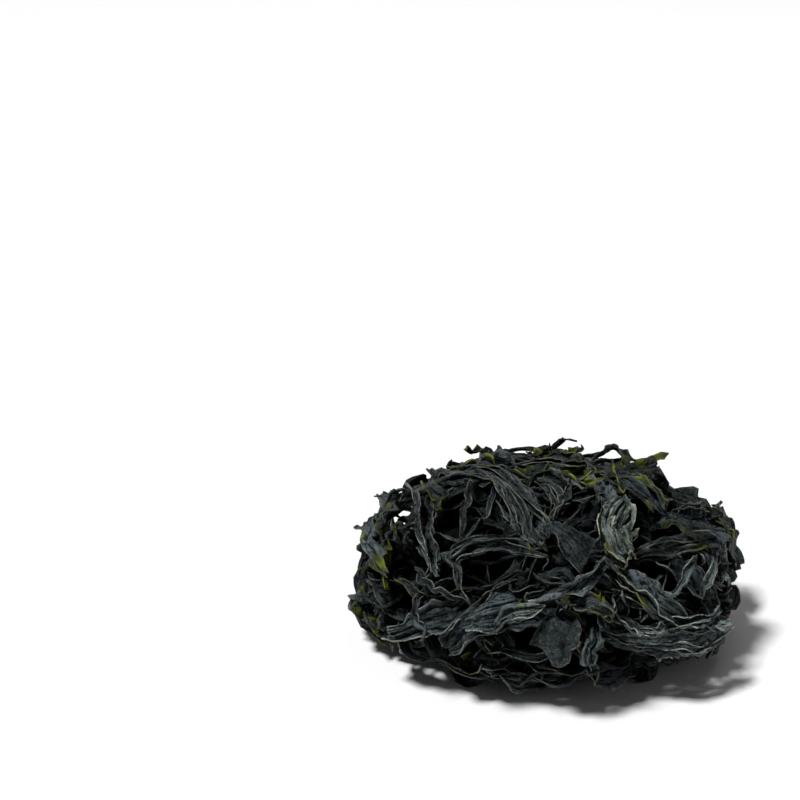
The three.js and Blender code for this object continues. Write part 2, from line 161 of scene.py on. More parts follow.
# Kinds of lobe, in millimetres: rows is the number of steps along it, folds and pleat the number
# and depth of its broad folds, curl how cupped it is, frill and waves how its sides are waved,
# turns its twist, torn how ragged its end is, roll how far its sides roll up, and widths half its
# width on the way from root to tip. Where a kind has them, coarse makes its mesh coarser, ruffle
# its rim more ruffled, rounded its end rounder, a lower rimmed its pale rim broader, and
# bleachedFrom says where its bleached part begins.
kinds = {
    "strap": {
        "rows": 8, "folds": 2, "pleat": 3.6, "curl": 0.14, "frill": 1.4, "waves": 2.5,
        "turns": 0.14, "torn": 2.5, "roll": 1.7,
        "widths": [(0, 2.2), (0.3, 3.6), (0.72, 6.0), (0.92, 5.2), (1, 2.6)],
    },
    "bundle": {
        "rows": 8, "folds": 3, "pleat": 4.2, "curl": 0.3, "frill": 0.4, "waves": 2,
        "turns": 0.1, "torn": 3.5, "roll": 1.2,
        "widths": [(0, 2.6), (0.3, 5.0), (0.8, 6.0), (1, 3.6)],
    },
    "rope": {
        "rows": 7, "folds": 2, "pleat": 3.6, "curl": 0.3, "frill": 0.3, "waves": 2.5,
        "turns": 0.3, "torn": 1.5, "roll": 1.0,
        "widths": [(0, 1.8), (0.3, 2.8), (0.8, 3.6), (1, 1.8)],
    },
    "ribbon": {
        "rows": 8, "folds": 2, "pleat": 2.4, "curl": 0.2, "frill": 0.3, "waves": 2.5,
        "turns": 0.6, "torn": 1, "roll": 1.2,
        "widths": [(0, 1.5), (0.3, 2.2), (0.8, 2.9), (1, 1.2)],
    },
    "blade": {
        "rows": 7, "folds": 3, "pleat": 3.8, "curl": -0.07, "frill": 2.8, "waves": 2.5,
        "turns": 0.05, "torn": 3.5, "roll": 1.9, "grain": 2.2, "creases": 0.8,
        "widths": [(0, 2.2), (0.28, 4.2), (0.62, 7.6), (0.88, 10.5), (1, 7.5)],
    },
    "fan": {
        "rows": 7, "folds": 3, "pleat": 3.0, "curl": -0.1, "frill": 1.8, "waves": 2.5,
        "turns": 0.06, "torn": 3, "roll": 1.5, "grain": 2.2, "creases": 0.8,
        "widths": [(0, 1.8), (0.35, 3.4), (0.85, 9.5), (1, 7.0)],
    },
    "leaf": {
        "rows": 7, "folds": 3, "pleat": 2.6, "curl": 0.16, "frill": 2.2, "waves": 3,
        "turns": 0.2, "torn": 1.5, "roll": 2.2, "grain": 2, "creases": 0.9,
        "widths": [(0, 1.6), (0.35, 5.4), (0.6, 7.6), (1, 1.0)],
    },
    "strand": {
        "rows": 8, "folds": 2, "pleat": 1.4, "curl": 0.5, "frill": 0.5, "waves": 3,
        "turns": 1.1, "torn": 0.8, "roll": 1.5, "coarse": 1.3,
        "widths": [(0, 0.8), (0.3, 1.1), (0.75, 1.7), (1, 0.5)],
    },
    "sliver": {
        "rows": 8, "folds": 2, "pleat": 1.2, "curl": 0.4, "frill": 0.3, "waves": 3,
        "turns": 0.3, "torn": 0.6, "roll": 1.0, "coarse": 1.2,
        "widths": [(0, 0.8), (0.3, 1.3), (0.8, 1.5), (1, 0.4)],
    },
    "smallFan": {
        "rows": 7, "folds": 3, "pleat": 1.5, "curl": -0.1, "frill": 1.2, "waves": 2.5,
        "turns": 0.04, "torn": 1.6, "roll": 0.7, "ruffle": 1.3, "grain": 2.6, "creases": 0.7,
        "widths": [(0, 1.6), (0.3, 2.6), (0.66, 6.0), (1, 8.0)],
    },
    "fleck": {
        "rows": 5, "folds": 2, "pleat": 0.8, "curl": 0.2, "frill": 0.9, "waves": 2.5,
        "turns": 0.25, "torn": 0.7, "roll": 0.8,
        "widths": [(0, 0.5), (0.35, 1.1), (0.75, 1.5), (1, 0.3)],
    },
    "fringe": {
        "rows": 7, "folds": 2, "pleat": 1.4, "curl": 0.2, "frill": 1.6, "waves": 3.5,
        "turns": 0.1, "torn": 1.2, "roll": 0.6, "ruffle": 1.8,
        "widths": [(0, 1.8), (0.4, 3.6), (0.8, 3.4), (1, 1.2)],
    },
    "paleLeaf": {
        "rows": 7, "folds": 3, "pleat": 3.0, "curl": 0.1, "frill": 2.2, "waves": 2.5,
        "turns": 0.08, "torn": 3.0, "roll": 1.4, "ruffle": 2.4, "grain": 1.6, "rimmed": 5,
        "bleachedFrom": -0.2,
        "widths": [(0, 1.8), (0.3, 6.4), (0.55, 7.4), (0.8, 4.4), (1, 2.6)],
    },
    "crumple": {
        "rows": 8, "folds": 3, "pleat": 3.2, "curl": 0.4, "frill": 1.6, "waves": 3,
        "turns": 0.5, "torn": 2.0, "roll": 2.4, "coarse": 1.35,
        "widths": [(0, 1.4), (0.35, 2.6), (0.75, 4.6), (1, 1.8)],
    },
    "midrib": {
        "rows": 11, "folds": 2, "pleat": 1.2, "curl": 0.1, "frill": 0.2, "waves": 1,
        "turns": 0.1, "torn": 0.5, "roll": 0.8,
        "widths": [(0, 3.0), (0.5, 2.6), (1, 1.9)],
    },
}

# grain: how evenly the grain spreads, where 1 is drawn out along the lobe and 6 the same both
# ways. creases: how deep and clear the creases along it are.
kinds["tuckedFold"] = {**kinds["crumple"], "coarse": 1.8}
kinds["ruffledLeaf"] = {**kinds["leaf"], "roll": 1.2, "ruffle": 2.0, "rimmed": 6}
kinds["ruffledStrap"] = {**kinds["strap"], "roll": 1.2, "ruffle": 2.6, "grain": 2, "rimmed": 5}
kinds["ruffledFan"] = {
    **kinds["fan"], "roll": 0.6, "ruffle": 1.7, "grain": 6, "creases": 0.12, "rounded": 6.0,
    "rimmed": 4,
}

# The lobes laid one by one: the kind, how far along the midrib it starts, and the places on the
# mound that it goes through.
frontLobes = [
    ("strap", 0.76, [(132, 58, 0.78), (106, 46, 0.9), (82, 34, 0.92), (62, 18, 0.9)]),
    ("strap", 0.78, [(96, 66, 0.8), (70, 82, 0.92), (-70, 82, 0.93), (-88, 62, 0.9)]),
    ("strap", 0.52, [(236, 6, 0.8), (250, -14, 0.94), (266, -38, 1), (284, -62, 1.04)]),
    ("leaf", 0.46, [(182, 28, 0.86), (190, 14, 0.98), (196, -6, 1.02), (204, -30, 1)]),
    ("rope", 0.5, [(288, 48, 0.86), (294, 36, 0.95), (300, 22, 0.97), (312, 8, 0.96)]),
    ("strap", 0.5, [(250, 24, 0.84), (240, 18, 0.94), (230, 12, 0.97), (216, 0, 0.98)]),
    ("strap", 0.55, [(276, 40, 0.84), (264, 38, 0.92), (248, 18, 0.95), (240, 4, 0.97)]),
    ("leaf", 0.46, [(220, 20, 0.84), (212, 16, 0.93), (206, 8, 0.97), (190, 0, 0.98)]),
    ("strap", 0.7, [(304, 32, 0.84), (312, 36, 0.93), (318, 28, 0.96), (322, 12, 0.97)]),
    ("rope", 0.62, [(300, 44, 0.88), (310, 44, 0.97), (328, 42, 0.99), (346, 30, 0.98)]),
    ("blade", 0.8, [(314, 52, 0.86), (328, 54, 0.95), (340, 48, 0.98), (346, 32, 0.99)]),
    ("rope", 0.78, [(152, 40, 0.9), (186, 50, 0.97), (212, 44, 0.99), (228, 34, 0.97)]),
    ("ruffledLeaf", 0.5, [(168, 40, 0.86), (180, 38, 0.95), (200, 32, 0.99), (212, 20, 0.98)]),
    ("rope", 0.52, [(224, 34, 0.9), (232, 48, 0.98), (246, 52, 0.99), (262, 52, 0.96)]),
    ("rope", 0.93, [(154, 40, 0.9), (162, 64, 1), (112, 78, 1.03), (64, 72, 1)]),
    ("rope", 0.93, [(64, 56, 0.9), (-54, 84, 0.99), (-86, 74, 0.98), (-92, 64, 0.93)]),
    ("strap", 0.88, [(120, 56, 0.92), (188, 82, 0.99), (264, 86, 0.99), (384, 82, 0.98)]),
    ("bundle", 0.95, [(128, 60, 0.92), (196, 80, 1.03), (252, 68, 1.03), (266, 54, 1)]),
    ("fan", 0.72, [(256, 68, 0.9), (268, 60, 1.01), (276, 52, 1.06), (282, 44, 1.06)]),
    ("ruffledStrap", 0.86, [(6, 60, 0.9), (-44, 64, 1), (-66, 56, 1.05), (-66, 44, 1.05)]),
    ("bundle", 0.9, [(60, 64, 0.94), (36, 72, 1.08), (-4, 70, 1.04), (-28, 56, 1)]),
    ("leaf", 0.55, [(284, 20, 0.86), (280, 16, 0.97), (280, 10, 1), (280, 4, 1.02)]),
    ("blade", 0.6, [(288, 40, 0.92), (276, 32, 1.02), (262, 28, 1.04), (244, 20, 1.04)]),
    ("ruffledFan", 0.55, [(284, 20, 0.88), (276, 20, 0.98), (270, 16, 1.02), (270, 6, 1.04)]),
    ("bundle", 0.42, [(280, 8, 0.9), (290, 8, 1), (304, 8, 1.02), (322, 6, 1.03)]),
    ("leaf", 0.8, [(356, 72, 0.9), (374, 66, 1.02), (380, 60, 1.08)]),
]

# How pale each of them has dried, from 0 to 1 and bleached above that, and how green.
frontLooks = [
    (0.5, 0.1), (0.6, 0.1), (0.4, 0.0), (0.4, 0.3), (0.75, 0.0), (0.7, 0.05), (0.5, 0.0), (0.35, 0.2),
    (0.6, 0.05), (0.6, 0.1), (0.7, 0.16), (0.8, 0.05), (0.55, 0.4), (0.9, 0.05), (0.6, 0.2), (0.9, 0.05),
    (0.8, 0.3), (0.95, 0.1), (1.0, 0.05), (1.45, 0.2), (0.8, 0.32), (0.7, 0.05), (0.95, 0.05), (0.8, 0.08),
    (1.0, 0.03), (0.6, 0.4),
]

# The other lobes, in three rings round the mound, from the lowest up.
rings = [
    {
        "seed": 17, "count": 12, "first": 15, "step": 30, "from": (0.1, 0.46),
        "high": (4, 16), "low": (-66, -40), "sweep": (24, 58), "lift": (0.74, 0.92, 0.98, 1.0),
        "kinds": ("strap", "blade", "bundle", "blade"),
    },
    {
        "seed": 8, "count": 9, "first": 354, "step": 25, "from": (0.3, 0.7),
        "high": (24, 40), "low": (-24, 0), "sweep": (30, 56), "lift": (0.7, 0.9, 0.94, 0.95),
        "kinds": ("blade", "strap", "ribbon"),
    },
    {
        "seed": 5, "count": 9, "first": 350, "step": 25, "from": (0.62, 0.94),
        "high": (56, 74), "low": (2, 26), "sweep": (24, 60), "lift": (0.76, 0.94, 1.0, 0.98),
        "kinds": ("strap", "blade", "bundle", "leaf"),
    },
]
straying = 12  # degrees in all, round each lobe's place in its ring


def within(limits, draw):
    return limits[0] + (limits[1] - limits[0]) * draw()


def lobesByRule(rule):
    draw = seededDraw(rule["seed"])
    lobes = []
    for i in range(rule["count"]):
        start = rule["from"][0] + (rule["from"][1] - rule["from"][0]) * (i + 0.5) / rule["count"]
        azimuth = rule["first"] + rule["step"] * i + straying * (draw() - 0.5)
        sweep = within(rule["sweep"], draw)
        sweep *= -1 if draw() < 0.5 else 1
        high = within(rule["high"], draw)
        low = within(rule["low"], draw)
        path = []
        for k, layer in enumerate(rule["lift"]):
            share = k / (len(rule["lift"]) - 1)
            path.append((azimuth + sweep * share, high + (low - high) * share, layer))
        lobes.append((rule["kinds"][i % len(rule["kinds"])], start, path))
    return lobes


# The midrib lies flat on the floor and then coils up through the mound. It shows from the share
# called shown on.
rib = {
    "halfWidth": 4.2,
    "stations": 27,
    "flat": [(-36, -10, 1.5), (-12, -3, 1.5), (12, 3, 1.5), (34, 12, 3)],
    "coil": [
        (50, -12, 0.6), (105, 2, 0.6), (160, 12, 0.6), (215, 18, 0.6), (268, 24, 0.6),
        (318, 32, 0.62), (372, 42, 0.66), (425, 60, 0.8), (490, 74, 0.92), (528, 56, 0.92),
        (533, 34, 0.94),
    ],
    "shown": 0.72,
    "thickness": 1.6,
    "number": 500,
    "green": 0.2,
    "tone": 0.7,
}


def ribPath():
    return np.array(rib["flat"] + [tuple(onMound(*place)) for place in rib["coil"]])


def kinked(points, draw):
    moved = points.copy()
    for k in range(len(points)):
        free = mound["kink"] * min(1, k / 3)
        moved[k] += free * np.array([2 * draw() - 1, 2 * draw() - 1, 2 * draw() - 1])
    return moved


def layOut(lobes, stem):
    draw = seededDraw(7)
    chains = []
    for kind, start, path in lobes:
        control = np.vstack([onCurve(stem, start), [onMound(*place) for place in path]])
        rows = kinds[kind]["rows"]
        chains.append(kinked(onCurve(control, np.arange(rows + 1) / rows), draw))
    return chains


def halfWidth(kind, t):
    places, widths = zip(*kind["widths"])
    t = np.asarray(t, float)
    k = np.clip(np.searchsorted(places, t, side="left") - 1, 0, len(places) - 2)
    places, widths = np.array(places, float), np.array(widths, float)
    u = np.clip((t - places[k]) / (places[k + 1] - places[k]), 0, 1)
    return widths[k] + (widths[k + 1] - widths[k]) * u * u * (3 - 2 * u)


settling = {
    "rounds": 50,
    "gap": 3.6,  # how far apart two lobes that meet are pressed
    "below": 3,  # gaps past which a lobe that lies too deep is left there
    "push": 0.25,
    "ribPush": 0.3,
    "longestStep": 0.8,
    "stiffness": 0.3,
    "lowestNode": 1.0,
    "rootNodes": 2,  # the first points of a lobe, which nothing presses
}


# Each lobe lies over those laid before it, so where two meet they press each other apart.
def settle(lobes, chains, stem):
    ribPoints = onCurve(stem, np.arange(rib["stations"]) / (rib["stations"] - 1))
    counts = [len(points) for points in chains]
    owner = np.repeat(np.arange(len(chains)), counts)
    order = np.concatenate([np.arange(n) for n in counts])
    widths = np.concatenate(
        [halfWidth(kinds[lobes[a][0]], np.arange(n) / (n - 1)) for a, n in enumerate(counts)]
    )
    free = order >= settling["rootNodes"]
    above = (owner[:, None] > owner[None, :]) & free[:, None] & free[None, :]
    onRib = np.repeat(free[:, None], len(ribPoints), axis=1)
    gap = settling["gap"]

    def lack(points, others, reach, allowed):
        n = outward(points)
        apart = points[:, None, :] - others[None, :, :]
        rise = np.einsum("ijk,ik->ij", apart, n)
        aside = np.sqrt(np.maximum(0, (apart**2).sum(-1) - rise**2)) / reach
        wanted = gap * (1 - aside**2)
        meets = allowed & (aside < 1) & (rise < wanted) & (rise > -settling["below"] * gap)
        return np.where(meets, wanted - rise, 0)[..., None] * n[:, None, :]

    points = np.concatenate(chains)
    interior = np.concatenate([[0] + [1] * (n - 2) + [0] for n in counts]).astype(bool)
    for _ in range(settling["rounds"]):
        push = lack(points, points, widths[:, None] + widths[None, :], above)
        moves = settling["push"] * push.sum(1) - settling["push"] * push.sum(0)
        push = lack(points, ribPoints, widths[:, None] + rib["halfWidth"], onRib)
        moves += settling["ribPush"] * push.sum(1)
        size = np.linalg.norm(moves, axis=1, keepdims=True)
        moves *= np.minimum(1, settling["longestStep"] / np.maximum(size, 1e-9))
        bend = np.zeros_like(points)
        bend[1:-1] = (points[:-2] + points[2:]) / 2 - points[1:-1]
        bend[~interior] = 0
        reach = np.linalg.norm(bend, axis=1, keepdims=True)
        over = np.maximum(0, reach - mound["kink"]) * settling["stiffness"]
        step = moves + bend / np.maximum(reach, 1e-9) * over
        step[order == 0] = 0
        points = points + step
        points[order > 0, 2] = np.maximum(points[order > 0, 2], settling["lowestNode"])
    return np.split(points, np.cumsum(counts)[:-1])


# Which way the film faces at each point of a lobe, carried along it without a twist.
def facings(points):
    n = len(points)
    forward = alongCurve(points, np.arange(n) / (n - 1))
    middle = int(n * 0.6)
    face = np.zeros((n, 3))

    def square(v, k):
        return unit(v - forward[k] * v.dot(forward[k]))

    face[middle] = square(outward(points[middle]), middle)
    for k in range(middle + 1, n):
        face[k] = square(face[k - 1], k)
    for k in range(middle - 1, -1, -1):
        face[k] = square(face[k + 1], k)
    return face


# A wave with creased crests, from -1 to 1.
def creased(angle):
    return np.arcsin(0.97 * np.cos(angle)) / math.asin(0.97)


# Rounded ridges with sharp grooves between them, from -1 to 1.
def grooved(angle):
    return 2 * np.abs(np.cos(angle / 2)) ** 0.8 - 1


# The broad folds and waved sides of a lobe, as in the solid.
def standOut(kind, phase, s, t):
    w = halfWidth(kind, t)
    opened = w / max(width for _, width in kind["widths"])
    depth = kind["pleat"] * (1 - 0.3 * opened) * np.minimum(1, w / 3)
    uneven = 0.7 + 0.3 * np.sin(3.1 * s + 5 * t + phase)
    fold = 0.5 * depth * uneven * creased(math.pi * kind["folds"] * (s + 1) / 2)
    cup = kind["curl"] * w * (s * s - 0.33)
    wave = np.sin(2 * math.pi * kind["waves"] * t + phase + np.where(s > 0, 1.7, 0))
    return fold + cup + kind["frill"] * opened * np.abs(s) ** 3 * wave


# Smooth noise from -1 to 1 on a seeded lattice.
def noise(u, v, seed):
    lattice = np.random.default_rng(seed).uniform(-1, 1, (61, 67))
    i, j = np.floor(u).astype(int), np.floor(v).astype(int)
    a, b = u - i, v - j
    a, b = a * a * (3 - 2 * a), b * b * (3 - 2 * b)

    def at(m, n):
        return lattice[m % 61, n % 67]

    low = at(i, j) * (1 - a) + at(i + 1, j) * a
    high = at(i, j + 1) * (1 - a) + at(i + 1, j + 1) * a
    return low * (1 - b) + high * b


# What varies over a lobe: how strongly, every how many millimetres, and the seed of its noise.
uneven = {
    "width": (0.32, 12, 40),
    "turn": (0.7, 17, 60),
    "ragged": (0.16, 2.9, 3),
    "bitten": (0.24, 9, 4),
    "roll": (1.0, 14, 90),
    "drift": (2.2, 13, 150),
    "strength": (0.5, 10, 170),
    "buckle": (1.8, 8.5, 190),
    "crinkle": (0.8, 2.3, 210),
    "fineCrinkle": (0.35, 1.1, 260),
    "frill": (2.0, 3.6, 300),
    "fineFrill": (0.9, 1.7, 310),
    "tornTip": (1.3, 1.3, 9),
    "wander": (0.7, 9, 330),
    "patches": (0.9, 5, 400),
    "spots": (3.2, 4.5, 420),
}


# over is a place in millimetres. start and beside shift the noise, so that the sides differ.
def vary(g, name, over, start=0, beside=0):
    strength, every, seed = uneven[name]
    return strength * noise(over / every + start, g.s * 0 + beside, seed + g.number)


# Where the points of a lobe's grid lie: s is -1 to 1 across it, t is 0 to 1 along it, k and u the
# row and the way to the next one, and along, across and width are in millimetres.
def gridOn(kind, points, number, s, t):
    g = SimpleNamespace(number=number, s=s, t=t)
    steps = len(points) - 1
    g.k = np.minimum((t * steps).astype(int), steps - 1)
    g.u = t * steps - g.k
    g.side = np.where(s > 0, 1, 0)
    g.free = np.minimum(1, 4 * t)
    g.last = np.clip((t - 1 + 1 / steps) * steps, 0, 1)
    g.along = t * np.linalg.norm(np.diff(points, axis=0), axis=1).sum()
    g.width = halfWidth(kind, t) * (1 + g.free * vary(g, "width", g.along, 0, 3))
    g.across = s * g.width
    return g


# Half the lobe's width with its torn sides, which are torn most where it is wide.
def tornWidth(g, edge):
    tear = edge[g.k, g.side] * (1 - g.u) + edge[g.k + 1, g.side] * g.u
    tear = tear * (g.width / 7) * np.minimum(1, 3 * g.t)
    ragged = vary(g, "ragged", g.along, 9 * g.side, g.number)
    ragged = ragged + vary(g, "bitten", g.along, 5 * g.side, g.number)
    return g.width + (tear + g.width * ragged * g.free) * np.clip(2 * np.abs(g.s) - 1, 0, 1)


rolling = {"flat": 0.66, "upward": 0.35}


# The outer strips roll up or under, more in some places than in others. It gives how far out and
# how far up each point comes.
def rolledSides(kind, g, half):
    strip = np.maximum(0, np.abs(g.s) - rolling["flat"]) * half
    roll = kind["roll"] * (vary(g, "roll", g.along, 5 * g.side, g.side + 0.5) + rolling["upward"])
    bendRate = roll * np.minimum(1, 3 * g.t) / ((1 - rolling["flat"]) * half)
    bendRate = np.where(np.abs(bendRate) < 1e-4, 1e-4, bendRate)
    reach = np.minimum(np.abs(g.s), rolling["flat"]) * half + np.sin(bendRate * strip) / bendRate
    return np.sign(g.s) * reach, (1 - np.cos(bendRate * strip)) / bendRate


# How many creases there are for each broad fold, how deep they are, and how much of that they
# keep where the lobe is open and where it is gathered.
creasing = {
    "often": 1.37, "deep": 1.5, "finerOften": 3.5, "finerDeep": 0.95,
    "open": 0.28, "gathered": 1.15,
}


# The creases along a lobe, and how far each point is a crest (1) or a groove (-1).
def creasesOn(kind, g, phase):
    drift = vary(g, "drift", g.along, 0, g.s * 1.5)
    strength = 0.75 + vary(g, "strength", g.along, 0, g.s * 2.2)
    fine = grooved(math.pi * kind["folds"] * creasing["often"] * g.s + drift + phase)
    finer = math.pi * kind["folds"] * creasing["finerOften"] * g.s
    finer = grooved(finer + 1.8 * drift + 2 * phase)
    broad = creased(math.pi * kind["folds"] * (g.s + 1) / 2)
    gathered = 1 - 0.85 * (g.width / max(width for _, width in kind["widths"])) ** 1.5
    share = np.minimum(1, g.width / 3) * (creasing["open"] + creasing["gathered"] * gathered)
    depth = creasing["deep"] * fine + creasing["finerDeep"] * finer
    fold = (0.3 * broad + 0.45 * fine + 0.45 * finer) * (0.6 + 0.4 * strength)
    clear = kind.get("creases", 1)
    return clear * strength * share * depth, clear * np.clip(fold, -1, 1)


# The buckled and crinkled film and its ruffled rim.
def crumpledFilm(kind, g):
    buckle = g.free * vary(g, "buckle", g.along, 0, g.s * 0.9 + 4)
    crinkle = vary(g, "crinkle", g.across, 20, g.along / 6)
    crinkle = crinkle + vary(g, "fineCrinkle", g.across, 7, g.along / 2.6)
    rim = np.clip((np.abs(g.s) - 0.5) / 0.5, 0, 1) ** 2 * np.minimum(1, g.width / 5) * g.free
    frill = vary(g, "frill", g.along, 11 * g.side, 1) + vary(g, "fineFrill", g.along, 7 * g.side, 6)
    return (buckle + crinkle) * np.minimum(1, g.width / 4) + rim * kind.get("ruffle", 1) * frill


# How far the torn end of a lobe reaches past its last point.
def tornEnd(kind, g, tip):
    j = np.clip((g.s + 1) / 2 * kind["folds"], 0, kind["folds"] - 1e-6)
    f = j.astype(int)
    pulled = tip[f] * (1 - (j - f)) + tip[f + 1] * (j - f) + vary(g, "tornTip", g.across, 3)
    return (pulled - kind.get("rounded", 0) * g.s**2) * g.last


# What the material reads at each point: where it is on the film, how near it is to the edge, how thin and
# green the film is, and its tone:
# the film's own paleness, above 1 where bleached, with painted shade that makes it low in the hollows deep
# in the mound and near the top.
def filmLooks(kind, g, position, thinness, tone):
    where = np.stack([g.across, g.along * kind.get("grain", 1), np.full_like(g.s, g.number)], -1)
    nearEdge = np.maximum(np.abs(g.s) ** kind.get("rimmed", 9), g.last**10 * np.minimum(1, g.width))
    outer = np.abs(g.s) ** 3 + g.t**4
    thin = thinness * (0.15 + 0.75 * outer + vary(g, "patches", g.along, 30, g.across / 3 + 2))
    spots = np.clip(vary(g, "spots", g.along, 50, g.across / 2.5 + 7) - 0.9, 0, 1)
    spots = 2.4 * thinness * spots * np.clip(0.1 + 1.2 * outer, 0, 1)
    thin = np.clip(np.maximum(thin, spots), 0, 1)
    bleached = np.clip((g.t - kind.get("bleachedFrom", 0.5)) / 0.15, 0, 1) * (tone > 1)
    # Painted shade: lit darkens the film deep in the mound, and darker darkens it near the top.
    lit = mound["dimmest"] + (1 - mound["dimmest"]) * outerness(position)
    high = np.clip((position[:, 2] - mound["darkFrom"]) / mound["darkOver"], 0, 1)
    darker = mound["darkTop"] * (1 - thin) * (1 - bleached) * high
    tone = (min(tone, 1) + bleached * (tone - 1)) * lit * (1 - darker)
    return where, nearEdge, thin, tone


# The fine form of one lobe, with what the material reads on it.
def lobeForm(kind, points, number, s, t, thinness, tone):
    g = gridOn(kind, points, number, s, t)
    phase = 1.3 * number
    forward = alongCurve(points, t)
    faces = facings(points)
    face = faces[g.k] * (1 - g.u)[:, None] + faces[g.k + 1] * g.u[:, None]
    face = unit(face - forward * (face * forward).sum(-1, keepdims=True))
    turn = 2 * math.pi * kind["turns"] * (t - 0.6)
    turn = (turn + g.free * np.minimum(1, 4 / g.width) * vary(g, "turn", g.along))[:, None]
    facing = face * np.cos(turn) + np.cross(forward, face) * np.sin(turn)
    level = np.cross(forward, facing)

    draw = seededDraw(31 + number)
    edge = np.array([[kind["torn"] * (draw() - 0.6) for _ in range(2)] for _ in points])
    tip = np.array([kind["torn"] * (2 * draw() - 1) for _ in range(kind["folds"] + 1)])
    aside, lifted = rolledSides(kind, g, tornWidth(g, edge))
    aside = aside + g.free * vary(g, "wander", g.along, 0, 2)
    crease, fold = creasesOn(kind, g, phase)
    rise = standOut(kind, phase, s, t) + lifted + crease + crumpledFilm(kind, g)
    position = onCurve(points, t) + level * aside[:, None] + facing * rise[:, None]
    position = position + forward * tornEnd(kind, g, tip)[:, None]
    where, nearEdge, thin, tone = filmLooks(kind, g, position, thinness, tone)
    return position, where, nearEdge, thin, fold, tone


# across and along: the size of the mesh's squares. floorCoarser: how much larger they are on the
# lowest lobes.
film = {"thickness": 0.4, "across": 0.5, "along": 1.15, "lowest": 0.3, "floorCoarser": 1.35}


def newPiece(name, build, material, thickness=None):
    mesh = bpy.data.meshes.new(name)
    bm = bmesh.new()
    build(bm)
    bm.to_mesh(mesh)
    bm.free()
    piece = bpy.data.objects.new(name, mesh)
    bpy.context.scene.collection.objects.link(piece)
    mesh.materials.append(material)
    mesh.shade_smooth()
    if thickness:
        solidify = piece.modifiers.new("film", "SOLIDIFY")
        solidify.thickness = thickness * mm
        solidify.offset = 0
    return piece


def pointsOf(piece):
    flat = np.empty(3 * len(piece.data.vertices))
    piece.data.vertices.foreach_get("co", flat)
    return flat.reshape(-1, 3)


def setForm(piece, position, where, nearEdge, thin, fold, tone):
    mesh = piece.data
    position = position - np.array([*mound["middle"], 0])
    over = position[:, 2] - mound["crown"]
    position[:, 2] = np.maximum(position[:, 2] - 0.5 * np.maximum(0, over), film["lowest"])
    mesh.vertices.foreach_set("co", (position * mm).ravel())
    for name, kind, key, values in (
        ("film", "FLOAT_VECTOR", "vector", where),
        ("edge", "FLOAT", "value", nearEdge),
        ("thin", "FLOAT", "value", thin),
        ("fold", "FLOAT", "value", fold),
        ("tone", "FLOAT", "value", tone),
    ):
        mesh.attributes.new(name, kind, "POINT").data.foreach_set(key, values.ravel().astype("f"))
    mesh.update()


# A piece of many lobes. Each member is a lobe's kind, points, number, how green and thin it is,
# and its tone.
def lobePiece(name, members, material, coarser=1.0, thickness=film["thickness"]):
    grids = []
    for kind, points, *_ in members:
        length = np.linalg.norm(np.diff(points, axis=0), axis=1).sum()
        widest = max(width for _, width in kinds[kind]["widths"])
        coarse = kinds[kind].get("coarse", 1) * coarser
        rows = int(length / (film["along"] * coarse))
        columns = int(max(6, 2.1 * widest / (film["across"] * coarse)))
        grids.append((columns, rows))

    def build(bm):
        for columns, rows in grids:
            bmesh.ops.create_grid(bm, x_segments=columns, y_segments=rows, size=1)

    piece = newPiece(name, build, material, thickness)
    flat = pointsOf(piece)
    made = []
    first = 0
    for (kind, points, number, thinness, tone), (columns, rows) in zip(members, grids):
        block = flat[first : first + (columns + 1) * (rows + 1)]
        first += len(block)
        s, t = block[:, 0], (block[:, 1] + 1) / 2
        made.append(lobeForm(kinds[kind], points, number, s, t, thinness, tone))
    setForm(piece, *(np.concatenate(values) for values in zip(*made)))
    print(name, "has", len(piece.data.polygons), "faces before its thickness")
    return piece


# Strands that lie side by side along a lobe and part at its end. The lobes are counted from the
# last one laid, each with how far to its side the strands lie.
slivered = {
    "first": 700,
    "spread": (0.5, 1.2),
    "lift": (1.3, 2.1),
    "overrun": 5.0,
    "green": 0.3,
    "tone": 0.9,
    "offsets": {
        2: (-5.5, -3.2, -1.0, 1.2, 3.4, 5.6),
        6: (-5.0, -2.5, 0.0, 2.6, 5.2),
        9: (-5.0, -3.2, -1.6, 0.0, 1.6, 3.2, 4.8),
        11: (-1.4, 1.4),
        12: (-2.2, 0.0, 2.2),
        13: (-2.2, 0.0, 2.2),
        15: (-1.8, 1.2),
        17: (-1.8, 1.4),
        22: (0.6,),
    },
}


def sliversAlong(chains):
    members = []
    for back, offsets in slivered["offsets"].items():
        points = chains[-back]
        forward = alongCurve(points, np.arange(len(points)) / (len(points) - 1))
        faces = facings(points)
        level = np.cross(forward, faces)
        spread = np.linspace(*slivered["spread"], len(points))[:, None] ** 1.5
        for i, offset in enumerate(offsets, slivered["first"] + 10 * back):
            draw = seededDraw(i)
            beside = points + level * spread * offset + faces * within(slivered["lift"], draw)
            beside[-1] += forward[-1] * slivered["overrun"] * (draw() - 0.4)
            beside = kinked(beside, draw)
            members.append(("sliver", beside, i, slivered["green"] * draw() ** 2, slivered["tone"]))
    return members


